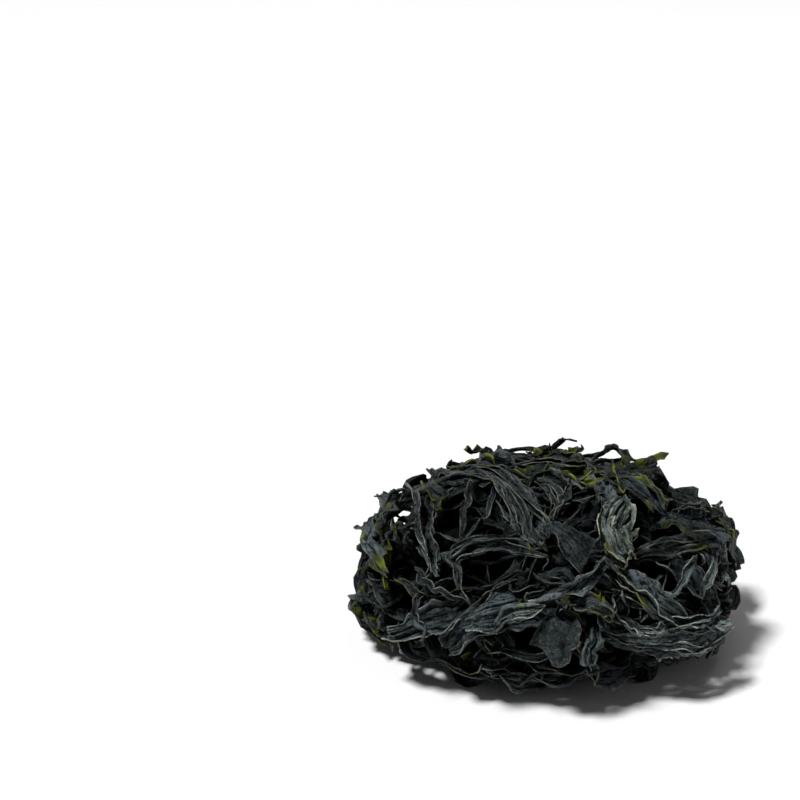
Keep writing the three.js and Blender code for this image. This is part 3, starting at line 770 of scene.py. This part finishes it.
# Smaller pieces between the lobes, seeded, spread evenly round the mound. Each starts inside it
# and swings over it as it comes out. low: how far down they start, as a height on a unit ball.
strands = {
    "kind": "strand", "seed": 61, "count": 120, "length": (34, 92), "layers": (0.74, 0.9, 0.93, 0.86),
    "low": -0.55, "swing": 1.3, "first": 200, "green": 0.4, "tone": 0.85,
}
wisps = {
    "kind": "sliver", "seed": 83, "count": 16, "length": (10, 24), "layers": (0.9, 0.98, 1.02, 1.05),
    "low": 0.35, "swing": 0.7, "first": 400, "green": 0.8, "tone": 0.9,
}
crumples = {
    "kind": "crumple", "seed": 29, "count": 112, "length": (26, 60), "layers": (0.7, 0.87, 0.9, 0.9),
    "low": -0.7, "swing": 1.0, "first": 600, "green": 0.3, "tone": 0.6,
}
tucked = {
    "kind": "tuckedFold", "seed": 12, "count": 60, "length": (26, 60), "layers": (0.6, 0.76, 0.8, 0.76),
    "low": -0.6, "swing": 1.2, "first": 850, "green": 0.0, "tone": 0.5,
}
room = np.array(solidBox[1]) / mm - mound["inset"]


# Places on the mound, from here on a unit ball and on in a heading that swings.
def overMound(here, heading, swing, length, layers):
    steps = len(layers) - 1
    stride = length / steps / mound["radius"]
    places = []
    for k, layer in enumerate(layers):
        azimuth = math.degrees(math.atan2(here[1], here[0]))
        elevation = math.degrees(math.asin(max(-0.8, min(1, here[2]))))
        places.append(onMound(azimuth, elevation, layer))
        east = unit(np.cross((0.001, 0, 1), here))
        north = np.cross(here, east)
        way = heading + swing * k / steps
        here = unit(here + stride * (east * math.cos(way) + north * math.sin(way)))
    return places


def scattered(rule):
    draw = seededDraw(rule["seed"])
    rows = kinds[rule["kind"]]["rows"]
    members = []
    for i in range(rule["count"]):
        height = rule["low"] + (1 - rule["low"]) * draw()
        turn = 2 * math.pi * draw()
        ring = math.sqrt(max(0, 1 - height**2))
        here = np.array([ring * math.cos(turn), ring * math.sin(turn), height])
        heading = 2 * math.pi * draw()
        length = within(rule["length"], draw)
        swing = rule["swing"] * (2 * draw() - 1)
        control = overMound(here, heading, swing, length, rule["layers"])
        points = kinked(onCurve(control, np.arange(rows + 1) / rows), draw)
        points = np.clip(points, (-room[0], -room[1], settling["lowestNode"]), room)
        thin = rule["green"] * draw() ** 3
        members.append((rule["kind"], points, rule["first"] + i, thin, rule["tone"] * (0.3 + 0.7 * draw())))
    return members


# Small pieces that lie on top: the kind, how pale, how green, and the places on the mound.
extras = [
    ("paleLeaf", 1.28, 0.2, [(326, 68, 1.0), (300, 62, 1.08), (292, 54, 1.1), (294, 44, 1.07)]),
    ("smallFan", 1.0, 0.03, [(264, 60, 1.04), (270, 58, 1.09), (276, 52, 1.12), (282, 46, 1.1)]),
    ("sliver", 0.95, 0.05, [(168, 70, 0.96), (210, 66, 1.01), (224, 58, 1.02), (230, 50, 0.98)]),
    ("sliver", 0.95, 0.05, [(196, 76, 0.96), (230, 66, 1.01), (232, 60, 1.02), (232, 50, 0.98)]),
    ("sliver", 0.9, 0.05, [(222, 72, 0.96), (240, 66, 1.0), (246, 62, 1.01), (250, 58, 0.97)]),
    ("sliver", 0.95, 0.05, [(162, 46, 1.0), (196, 54, 1.05), (212, 48, 1.06), (224, 40, 1.03)]),
    ("sliver", 0.95, 0.05, [(270, 66, 0.98), (274, 72, 1.03), (280, 78, 1.05), (312, 84, 1.0)]),
    ("sliver", 0.9, 0.05, [(302, 26, 1.0), (308, 28, 1.04), (316, 34, 1.05), (326, 36, 1.0)]),
    ("sliver", 0.9, 0.1, [(318, 18, 0.98), (320, 24, 1.02), (324, 28, 1.03), (334, 28, 0.98)]),
    ("sliver", 0.6, 0.1, [(136, 78, 1.0), (130, 74, 1.05), (120, 70, 1.12)]),
    ("sliver", 0.7, 0.15, [(40, 76, 1.02), (46, 70, 1.1), (42, 66, 1.11), (24, 66, 1.05)]),
    ("sliver", 0.7, 0.1, [(338, 54, 1.0), (342, 52, 1.04), (348, 50, 1.1)]),
    ("rope", 0.95, 0.05, [(262, 28, 1.05), (274, 34, 1.08), (280, 40, 1.09), (286, 44, 1.08)]),
    ("rope", 0.8, 0.05, [(288, 46, 0.98), (294, 36, 1.02), (300, 26, 1.03), (312, 8, 1.0)]),
    ("fringe", 0.6, 0.4, [(94, 74, 1.0), (90, 74, 1.06), (86, 76, 1.12)]),
    ("fringe", 0.4, 0.36, [(350, 42, 1.0), (350, 40, 1.05), (348, 30, 1.05)]),
    ("fringe", 1.25, 0.2, [(254, 16, 1.0), (256, 22, 1.04), (260, 26, 1.06), (266, 28, 1.06)]),
    ("fringe", 0.8, 0.3, [(180, 36, 1.0), (190, 34, 1.03), (202, 30, 1.05), (214, 24, 1.03)]),
    ("fringe", 0.8, 0.26, [(178, 46, 0.98), (188, 44, 1.03), (196, 40, 1.05), (200, 36, 1.03)]),
    ("fringe", 0.7, 0.36, [(172, 56, 0.98), (188, 60, 1.04), (198, 60, 1.05), (206, 58, 1.03)]),
    ("fringe", 1.15, 0.36, [(276, 28, 1.0), (278, 28, 1.06), (282, 28, 1.09), (284, 24, 1.07)]),
    ("fringe", 0.8, 0.1, [(280, 18, 1.0), (280, 14, 1.04), (278, 10, 1.06), (278, 4, 1.04)]),
    ("fleck", 0.8, 0.7, [(152, 60, 1.0), (158, 68, 1.04), (150, 72, 1.06)]),
    ("fleck", 0.8, 0.7, [(106, 74, 1.01), (100, 78, 1.04), (92, 76, 1.06)]),
    ("fleck", 0.9, 0.9, [(76, 76, 1.02), (70, 76, 1.08), (64, 74, 1.08)]),
    ("fleck", 0.9, 0.9, [(6, 86, 1.04), (-36, 82, 1.07), (-6, 78, 1.07)]),
    ("fleck", 0.8, 0.7, [(30, 72, 1.04), (-10, 74, 1.07), (-34, 70, 1.05)]),
    ("fleck", 0.7, 0.6, [(28, 64, 1.0), (22, 62, 1.08), (28, 54, 1.14)]),
    ("fleck", 1.0, 1.0, [(282, 34, 1.0), (282, 30, 1.06), (280, 28, 1.1)]),
    ("fleck", 0.8, 0.6, [(350, 42, 1.02), (350, 36, 1.05), (348, 32, 1.06), (350, 26, 1.02)]),
]


def laidOnTop():
    draw = seededDraw(91)
    members = []
    for i, (name, tone, green, path) in enumerate(extras, 950):
        rows = kinds[name]["rows"]
        points = onCurve([onMound(*place) for place in path], np.arange(rows + 1) / rows)
        points = (points + kinked(points, draw)) / 2
        members.append((name, np.minimum(points, room), i, green, tone))
    return members


# The lamina folded up inside: pleats that run across the mound, with finer ones between them. The
# depths are shares of its size.
inner = {
    "share": 0.75,
    "foot": 1.1,
    "pleatCount": 12,
    "pleatDepth": 0.08,
    "pleatLean": 30.0,
    "lump": 0.05,
    "fineCount": 23,
    "finerCount": 51,
    "fineDepth": 0.034,
    "rough": 0.03,
    "around": 280,
    "along": 104,
    # painted shade: the low tone darkens the inner folds further
    "tone": 0.3,
}


def innerPiece(material):
    def build(bm):
        bmesh.ops.create_uvsphere(bm, u_segments=inner["around"], v_segments=inner["along"], radius=1)

    piece = newPiece("innerFolds", build, material)
    ball = pointsOf(piece)
    along = np.clip(ball[:, 2], -1, 1)
    ring = np.sqrt(np.maximum(0, 1 - along**2))
    turn = np.arctan2(-ball[:, 1], ball[:, 0])
    swell = 1 + 0.5 * np.sin(5 * turn + 3 * along)
    pleat = inner["pleatDepth"] * ring * np.cos(inner["pleatCount"] * turn) * swell
    lump = inner["lump"] * ring * np.sin(3 * turn + 4 * along)
    x, y = ring * np.cos(turn), ring * np.sin(turn)
    bent = 5 * noise(x * 3 + 20, y * 3 + along * 4 + 20, 11) + 6 * along
    packed = creased(inner["fineCount"] * turn + bent)
    packed = packed + 0.6 * creased(inner["finerCount"] * turn - 1.6 * bent)
    fine = inner["fineDepth"] * ring * packed * (1 + 0.6 * noise(x * 4 + 9, along * 6 + 20, 13))
    fine += inner["rough"] * ring * noise(x * 9 + along * 5 + 40, y * 9 + 40, 12)
    leaning = turn + np.radians(inner["pleatLean"]) * along
    u = np.stack([-along, ring * np.cos(leaning), ring * np.sin(leaning)], -1)
    azimuth = np.degrees(np.arctan2(u[:, 1], u[:, 0]))
    elevation = np.degrees(np.arcsin(np.clip(u[:, 2], -1, 1)))
    place = onMound(azimuth, elevation, inner["share"] * (1 + pleat + lump + fine))
    low = mound["waist"] * (1 + inner["foot"] * (1 + pleat) * u[:, 2])
    place[:, 2] = np.where(u[:, 2] < 0, low, place[:, 2])
    where = np.stack([turn * 55, along * 80, np.zeros_like(along)], -1)
    none = np.zeros_like(along)
    setForm(piece, place, where, none, none, np.clip(0.7 * packed, -1, 1), none + inner["tone"])
    return piece


# Node helpers.
def node(tree, kind, inputs=(), **settings):
    made = tree.nodes.new(kind)
    for key, value in settings.items():
        setattr(made, key, value)
    for key, value in dict(inputs).items():
        socket = made.inputs[key]
        if isinstance(value, bpy.types.NodeSocket):
            tree.links.new(value, socket)
        elif socket.type == "RGBA":
            socket.default_value = (*value, 1)
        else:
            socket.default_value = value
    return made


def calc(tree, operation, *values):
    return node(tree, "ShaderNodeMath", enumerate(values), operation=operation).outputs[0]


def attribute(tree, name, output="Fac"):
    return node(tree, "ShaderNodeAttribute", attribute_name=name).outputs[output]


def noiseAt(tree, vector, scale, detail, roughness=0.5, distortion=0.0):
    inputs = {
        "Vector": vector, "Scale": scale, "Detail": detail, "Roughness": roughness,
        "Distortion": distortion,
    }
    return node(tree, "ShaderNodeTexNoise", inputs).outputs["Fac"]


def ramp(tree, value, stops):
    made = node(tree, "ShaderNodeValToRGB", {"Fac": value})
    elements = made.color_ramp.elements
    while len(elements) < len(stops):
        elements.new(0.5)
    for element, (at, color) in zip(elements, stops):
        element.position = at
        element.color = (*color, 1)
    return made.outputs["Color"]


def mapRange(tree, value, low, high, start=0.0, end=1.0):
    inputs = {"Value": value, "From Min": low, "From Max": high, "To Min": start, "To Max": end}
    return node(tree, "ShaderNodeMapRange", inputs).outputs["Result"]


def mixColor(tree, factor, a, b):
    return node(tree, "ShaderNodeMix", {0: factor, 6: a, 7: b}, data_type="RGBA").outputs[2]


# The scales are for each millimetre. stretch draws the wrinkles out along the lobe and sets one
# lobe's apart from the next.
grain = {
    "scales": {"Wrinkle Scale": 0.7, "Line Scale": 1.3, "Mottle Scale": 0.9},
    "stretch": (1.0, 0.15, 7.3),
    "patchScale": 0.09,
    "speckScale": 1.7,
}


def filmGroup():
    tree = bpy.data.node_groups.new("filmDetail", "ShaderNodeTree")
    for name in grain["scales"]:
        tree.interface.new_socket(name, in_out="INPUT", socket_type="NodeSocketFloat")
    for name in ("Wrinkles", "Mottle", "Patches", "Specks"):
        tree.interface.new_socket(name, in_out="OUTPUT", socket_type="NodeSocketFloat")
    scales = tree.nodes.new("NodeGroupInput").outputs
    where = attribute(tree, "film", "Vector")
    stretched = node(tree, "ShaderNodeMapping", {"Vector": where, "Scale": grain["stretch"]})
    stretched = stretched.outputs["Vector"]
    coarse = noiseAt(tree, stretched, scales["Wrinkle Scale"], 5.0, 0.65, 0.6)
    lines = noiseAt(tree, stretched, scales["Line Scale"], 4.0, 0.6, 0.4)
    ridged = calc(tree, "ABSOLUTE", calc(tree, "SUBTRACT", lines, 0.5))
    ridged = calc(tree, "MULTIPLY_ADD", ridged, -3.2, 0.55)
    made = {
        "Wrinkles": calc(tree, "MULTIPLY_ADD", coarse, 0.6, ridged),
        "Mottle": noiseAt(tree, where, scales["Mottle Scale"], 6.0, 0.8),
        "Patches": noiseAt(tree, where, grain["patchScale"], 2.0),
        "Specks": noiseAt(tree, where, grain["speckScale"], 1.0),
    }
    out = tree.nodes.new("NodeGroupOutput")
    for name, socket in made.items():
        tree.links.new(socket, out.inputs[name])
    return tree


# Painted light in these colours: dark and shade are painted shade in grooves and hollows, pale and crest are
# painted highlights on crests and specks, and rim and crispRim are partly the edge's own colour and partly
# painted highlight.
laminaLooks = {
    "shade": (0.0005, 0.0008, 0.0008),
    "dark": (0.0009, 0.0014, 0.0014),
    "middle": (0.0084, 0.0116, 0.0116),
    "pale": (0.25, 0.325, 0.35),
    "green": (0.009, 0.0165, 0.009),
    "blue": (0.0105, 0.016, 0.0205),
    "crest": (0.27, 0.325, 0.33),
    "crests": 0.4,
    "glintSpecks": 0.5,
    "rim": (0.5, 0.51, 0.4),
    "rims": 0.8,
    "crispRim": (0.75, 0.78, 0.6),
    "olive": (0.05, 0.068, 0.012),
    "yellow": (0.3, 0.35, 0.018),
    "mossy": (0.036, 0.046, 0.03),
    "bleached": (0.3, 0.34, 0.26),
    "gloss": 0.3,
    "gleam": 0.3,
}
# Painted shade: a far darker copy of the lamina's colours for the folds inside the mound.
shadedFoldLooks = {
    **laminaLooks,
    "dark": (0.0003, 0.0004, 0.0004),
    "middle": (0.0012, 0.0015, 0.0015),
    "pale": (0.004, 0.005, 0.005),
    "green": (0.001, 0.0014, 0.001),
    "blue": (0.0012, 0.0014, 0.0016),
    "crest": (0.007, 0.008, 0.008),
    "rims": 0.0,
    "gloss": 0.7,
}


def laminaMaterial(name, detail, looks):
    material = bpy.data.materials.new(name)
    material.use_nodes = True
    tree = material.node_tree
    shader = tree.nodes["Principled BSDF"]
    group = node(tree, "ShaderNodeGroup", node_tree=detail)
    for key, scale in grain["scales"].items():
        group.inputs[key].default_value = scale
    wrinkles, mottle, patches, glintSpecks = group.outputs
    edge, thin, fold, tone = (attribute(tree, key) for key in ("edge", "thin", "fold", "tone"))

    # Painted shade in the grooves and painted highlights on the crests, with a green or a blue cast, painted
    # glints as paler specks, and a broken pale rim that is partly painted highlight.
    lit = calc(tree, "MULTIPLY_ADD", wrinkles, 0.55, -0.17)
    lit = calc(tree, "MULTIPLY_ADD", mottle, 0.7, lit)
    lit = calc(tree, "MULTIPLY_ADD", fold, 0.2, lit)
    base = ramp(tree, lit, [(0.4, looks["dark"]), (0.54, looks["middle"]), (0.72, looks["pale"])])
    base = mixColor(tree, 0.3, base, ramp(tree, patches, [(0.38, looks["green"]), (0.62, looks["blue"])]))
    # Painted highlight: the highest wrinkles take the pale crest colour.
    base = mixColor(tree, mapRange(tree, wrinkles, 0.72, 0.88, 0, looks["crests"]), base, looks["crest"])
    # Painted glints: small pale specks in the crest colour.
    base = mixColor(tree, mapRange(tree, glintSpecks, 0.66, 0.74, 0, looks["glintSpecks"]), base, looks["crest"])
    # The pale broken rim is partly the torn edge's own paler colour and partly a painted highlight.
    broken = calc(tree, "ADD", calc(tree, "MULTIPLY_ADD", mottle, 2.0, -0.5), patches)
    rims = mapRange(tree, calc(tree, "MULTIPLY", broken, edge), 0.8, 1.1, 0, looks["rims"])
    base = mixColor(tree, rims, base, looks["rim"])

    # Olive to yellow where the film is thin, grey-green where it has bleached, and painted shade in the
    # hollows and near the top.
    leafy = ramp(tree, thin, [(0.3, looks["olive"]), (0.7, looks["yellow"])])
    base = mixColor(tree, mapRange(tree, thin, 0.2, 0.45, 0, 0.9), base, leafy)
    bleached = mapRange(tree, tone, 1.0, 1.5, 0, 0.8)
    washed = ramp(tree, lit, [(0.38, looks["middle"]), (0.54, looks["mossy"]), (0.74, looks["bleached"])])
    base = mixColor(tree, bleached, base, washed)
    # The crisp rim on bleached film is partly its own paler colour and partly a painted highlight.
    base = mixColor(tree, calc(tree, "MULTIPLY", rims, bleached), base, looks["crispRim"])
    # Painted shade: the tone, varied by the patches, mixes the colour towards the shade colour.
    shadeAndTone = calc(tree, "MULTIPLY", tone, mapRange(tree, patches, 0.36, 0.6, 0.45, 1.0))
    base = mixColor(tree, shadeAndTone, looks["shade"], base)
    tree.links.new(base, shader.inputs["Base Color"])

    # The crests gleam more than the grooves, and the hollows hardly at all.
    gleam = mapRange(tree, tone, 0.1, 0.6, 0.04, looks["gleam"])
    gleam = calc(tree, "MULTIPLY", gleam, mapRange(tree, fold, -0.43, 0.88, 0.3, 1.35))
    tree.links.new(gleam, shader.inputs["Specular IOR Level"])
    roughness = mapRange(tree, mottle, 0.3, 0.7, looks["gloss"], looks["gloss"] + 0.2)
    tree.links.new(roughness, shader.inputs["Roughness"])
    shader.inputs["IOR"].default_value = 1.45
    bump = node(tree, "ShaderNodeBump", {"Height": wrinkles, "Strength": 1.0, "Distance": 0.9 * mm})
    fine = {"Height": mottle, "Strength": 0.8, "Distance": 0.4 * mm, "Normal": bump.outputs["Normal"]}
    tree.links.new(node(tree, "ShaderNodeBump", fine).outputs["Normal"], shader.inputs["Normal"])
    return material


filmDetail = filmGroup()
lamina = laminaMaterial("driedLamina", filmDetail, laminaLooks)
shadedFoldLamina = laminaMaterial("shadedFoldLamina", filmDetail, shadedFoldLooks)
print("materials made")

stem = ribPath()
lobes = [lobe for rule in rings for lobe in lobesByRule(rule)] + frontLobes
chains = settle(lobes, layOut(lobes, stem), stem)
print(len(lobes), "lobes settled")

lookDraw = seededDraw(23)
ringLooks = [(0.3 + 0.6 * lookDraw(), 0.35 * lookDraw() ** 3) for _ in lobes[: -len(frontLobes)]]
members = []
for (kind, _, _), points, (tone, green) in zip(lobes, chains, ringLooks + frontLooks):
    members.append((kind, points, len(members), green, tone))

lobeCounts = {"floorLobes": 12, "sideLobes": 9, "backLobes": 9, "lowerFrontLobes": 13, "upperFrontLobes": 13}
pieces = []
for name, count in lobeCounts.items():
    coarser = film["floorCoarser"] if name == "floorLobes" else 1.0
    pieces.append(lobePiece(name, members[:count], lamina, coarser))
    members = members[count:]

ribPoints = onCurve(stem, np.linspace(rib["shown"], 1, kinds["midrib"]["rows"] + 1))
ribMember = ("midrib", ribPoints, rib["number"], rib["green"], rib["tone"])
pieces.append(lobePiece("midrib", [ribMember], lamina, thickness=rib["thickness"]))
crumpled = scattered(crumples)
for name, smallOnes in (
    ("slivers", sliversAlong(chains)),
    ("topPieces", laidOnTop()),
    ("looseStrands", scattered(strands) + scattered(wisps)),
    ("tuckedFolds", scattered(tucked)),
    ("crumplesOne", crumpled[: len(crumpled) // 2]),
    ("crumplesTwo", crumpled[len(crumpled) // 2 :]),
):
    pieces.append(lobePiece(name, smallOnes, lamina))
pieces.append(innerPiece(shadedFoldLamina))
for piece in pieces:
    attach(piece, "root")
    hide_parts("frond")
print("pieces placed")

studio = {
    "floor": (0.9, 0.9, 0.9), "floorReach": 40.0, "world": 0.07,
    "sun": 3.7, "sunFrom": (-0.4, -0.14, 0.95), "sunSoftness": 12.0,
    "lampsAim": (0, 0, 0.03),
    "fillLight": {"place": (0.7, -0.6, 0.5), "size": (0.6, 0.6), "power": 0.3},
    "rimLight": {"place": (0.25, 0.7, 0.6), "size": (0.6, 0.3), "power": 1.0},
}


def plainMaterial(name, color, roughness):
    material = bpy.data.materials.new(name)
    material.use_nodes = True
    shader = material.node_tree.nodes["Principled BSDF"]
    shader.inputs["Base Color"].default_value = (*color, 1)
    shader.inputs["Roughness"].default_value = roughness
    return material


def buildFloor(bm):
    bmesh.ops.create_grid(bm, x_segments=2, y_segments=2, size=studio["floorReach"])


newPiece("floor", buildFloor, plainMaterial("paleFloor", studio["floor"], 0.7))

world = bpy.data.worlds.new("studio")
bpy.context.scene.world = world
world.use_nodes = True
world.node_tree.nodes["Background"].inputs["Color"].default_value = (1, 1, 1, 1)
world.node_tree.nodes["Background"].inputs["Strength"].default_value = studio["world"]


def placed(name, data, place, direction):
    made = bpy.data.objects.new(name, data)
    made.location = place
    made.rotation_euler = direction.to_track_quat("-Z", "Y").to_euler()
    bpy.context.scene.collection.objects.link(made)
    return made


sun = bpy.data.lights.new("keyLight", "SUN")
sun.energy = studio["sun"]
sun.angle = math.radians(studio["sunSoftness"])
placed("keyLight", sun, (0, 0, 0), -Vector(studio["sunFrom"]))
for name in ("fillLight", "rimLight"):
    softbox = bpy.data.lights.new(name, "AREA")
    softbox.shape = "RECTANGLE"
    softbox.size, softbox.size_y = studio[name]["size"]
    softbox.energy = studio[name]["power"]
    place = Vector(studio[name]["place"])
    placed(name, softbox, place, Vector(studio["lampsAim"]) - place)

# right, up and height say where on the object the camera aims.
lens = {
    "focal": 90.0, "distance": 0.82, "elevation": 24.5, "right": -0.0605, "up": 0.0642,
    "height": 0.034, "nearest": 0.01,
}
elevation = math.radians(lens["elevation"])
forward = Vector((0, math.cos(elevation), -math.sin(elevation)))
upward = Vector((0, math.sin(elevation), math.cos(elevation)))
aim = Vector((lens["right"], 0, lens["height"])) + upward * lens["up"]
camera = bpy.data.cameras.new("camera")
camera.lens = lens["focal"]
camera.clip_start = lens["nearest"]
bpy.context.scene.camera = placed("camera", camera, aim - forward * lens["distance"], forward)
bpy.context.scene.view_settings.view_transform = "Standard"
print("studio made")
